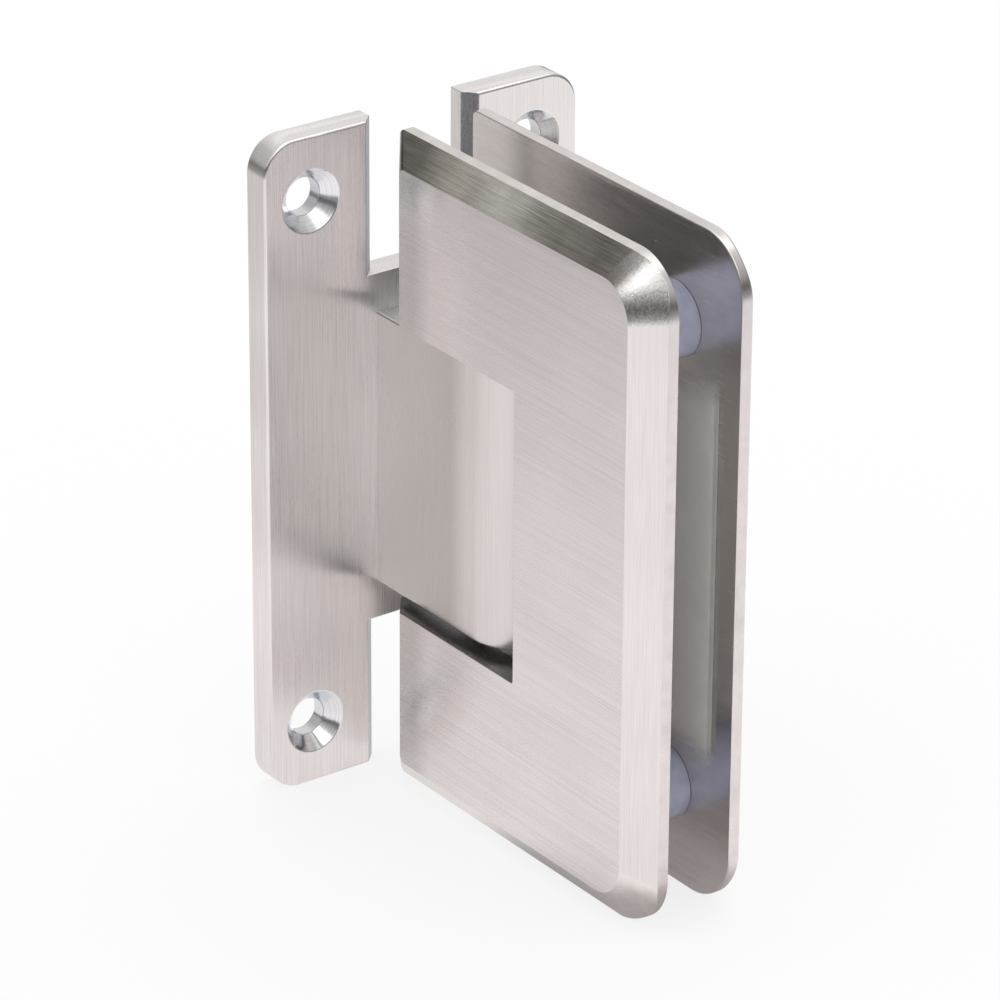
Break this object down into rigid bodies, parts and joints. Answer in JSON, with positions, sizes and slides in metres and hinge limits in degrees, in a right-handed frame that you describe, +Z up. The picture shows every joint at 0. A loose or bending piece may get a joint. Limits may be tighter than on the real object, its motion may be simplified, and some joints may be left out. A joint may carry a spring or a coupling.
{
  "type": "glass door hinge",
  "caption": "Wall-to-glass door hinge: H-shaped wall plate, pivot block and bevelled clamp plates that grip a glass door and swing ninety degrees each way.",
  "frame": {"origin": "centre of the wall plate's back face", "axes": "+X away from the wall, +Y towards the rear clamp plate, +Z up along the pin"},
  "size_m": [0.0628, 0.048, 0.09],
  "materials": {
    "brushed_metal": "satin brushed",
    "turned_steel": "turned",
    "fastener_steel": "plain",
    "spring_steel": "drawn wire",
    "bush_brass": "turned",
    "washer_nylon": "moulded",
    "sleeve_plastic": "bluish tube",
    "clear_gasket": "clear soft sheet"
  },
  "bodies": {
    "wall_side": {"wall_plate": "brushed_metal", "pivot_block": "brushed_metal", "block_screw_upper": "fastener_steel", "block_screw_lower": "fastener_steel", "pin_bush_upper": "bush_brass", "pin_bush_lower": "bush_brass", "detent_plunger_upper": "turned_steel", "detent_plunger_lower": "turned_steel", "detent_spring_upper": "spring_steel", "detent_spring_lower": "spring_steel", "spring_plug_upper": "fastener_steel", "spring_plug_lower": "fastener_steel"},
    "door_side": {"front_clamp_plate": "brushed_metal", "rear_clamp_plate": "brushed_metal", "pivot_pin": "turned_steel", "thrust_washer_upper": "washer_nylon", "thrust_washer_lower": "washer_nylon", "pin_set_screw_upper": "fastener_steel", "pin_set_screw_lower": "fastener_steel", "clamp_post_upper": "turned_steel", "clamp_post_lower": "turned_steel", "post_sleeve_upper": "sleeve_plastic", "post_sleeve_lower": "sleeve_plastic", "clamp_screw_upper": "fastener_steel", "clamp_screw_lower": "fastener_steel", "front_gasket": "clear_gasket", "rear_gasket": "clear_gasket"}
  },
  "joints": [
    {"name": "door_swing", "type": "hinge", "parent": "wall_side", "child": "door_side", "pos_m": [0.025, 0, 0], "axis": [0, 0, 1], "range_deg": [-90, 90]}
  ]
}
